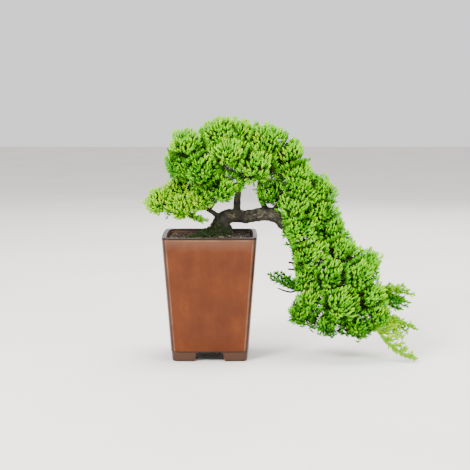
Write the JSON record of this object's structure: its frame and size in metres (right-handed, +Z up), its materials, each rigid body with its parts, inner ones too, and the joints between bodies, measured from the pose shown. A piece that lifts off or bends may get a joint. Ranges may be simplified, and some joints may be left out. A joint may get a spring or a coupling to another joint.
{
  "type": "juniper bonsai in a pot",
  "caption": "Semi-cascade juniper bonsai with an arching trunk and dense needle foliage, rooted in a tall square tapered glazed pot on corner feet.",
  "frame": {"origin": "on the standing surface, under the middle of the whole plant's box; the pot's axis is 124 mm to the left of it and 5 mm behind", "axes": "+Z up, +X towards the cascade's tip, -Y towards the viewer of the plant's front"},
  "size_m": [0.4852, 0.1784, 0.4312],
  "materials": {
    "glaze": "brown-orange glaze, satin to gloss",
    "soil": "damp grains, matt",
    "bark": "rough flaking bark",
    "foliage": "waxy green needles",
    "young_foliage": "waxy yellow-green young needles",
    "drain_mesh": "black moulded plastic"
  },
  "bodies": {
    "root": {"cascade_back_01": "foliage", "cascade_back_02": "foliage", "cascade_back_03": "foliage", "cascade_back_04": "foliage", "cascade_back_05": "foliage", "cascade_front_01": "foliage", "cascade_front_02": "foliage", "cascade_front_03": "foliage", "cascade_front_04": "foliage", "cascade_front_05": "foliage", "cascade_front_06": "foliage", "cascade_front_07": "foliage", "cascade_front_08": "foliage", "cascade_front_09": "foliage", "cascade_front_10": "foliage", "cascade_front_11": "foliage", "cascade_front_12": "foliage", "cascade_front_13": "foliage", "cascade_front_14": "foliage", "cascade_front_15": "foliage", "crown_back_01": "foliage", "crown_back_02": "foliage", "crown_back_03": "foliage", "crown_back_04": "foliage", "crown_back_05": "foliage", "crown_back_06": "foliage", "crown_front_01": "foliage", "crown_front_02": "foliage", "crown_front_03": "foliage", "crown_front_04": "foliage", "crown_front_05": "foliage", "crown_front_06": "foliage", "crown_front_07": "foliage", "crown_front_08": "foliage", "crown_front_09": "foliage", "crown_front_10": "foliage", "crown_middle_01": "foliage", "crown_middle_02": "foliage", "crown_middle_03": "foliage", "drain_mesh": "drain_mesh", "inner_sprig": "young_foliage", "left_01": "foliage", "left_02": "foliage", "left_03": "foliage", "left_04": "foliage", "left_05": "foliage", "left_sprig": "young_foliage", "pot": "glaze", "shoulder_01": "foliage", "shoulder_02": "foliage", "shoulder_03": "foliage", "shoulder_04": "foliage", "shoulder_05": "foliage", "soil": "soil", "tail_low": "young_foliage", "tail_middle": "young_foliage", "tail_under": "young_foliage", "tail_upper": "young_foliage", "wood": "bark"}
  },
  "joints": []
}
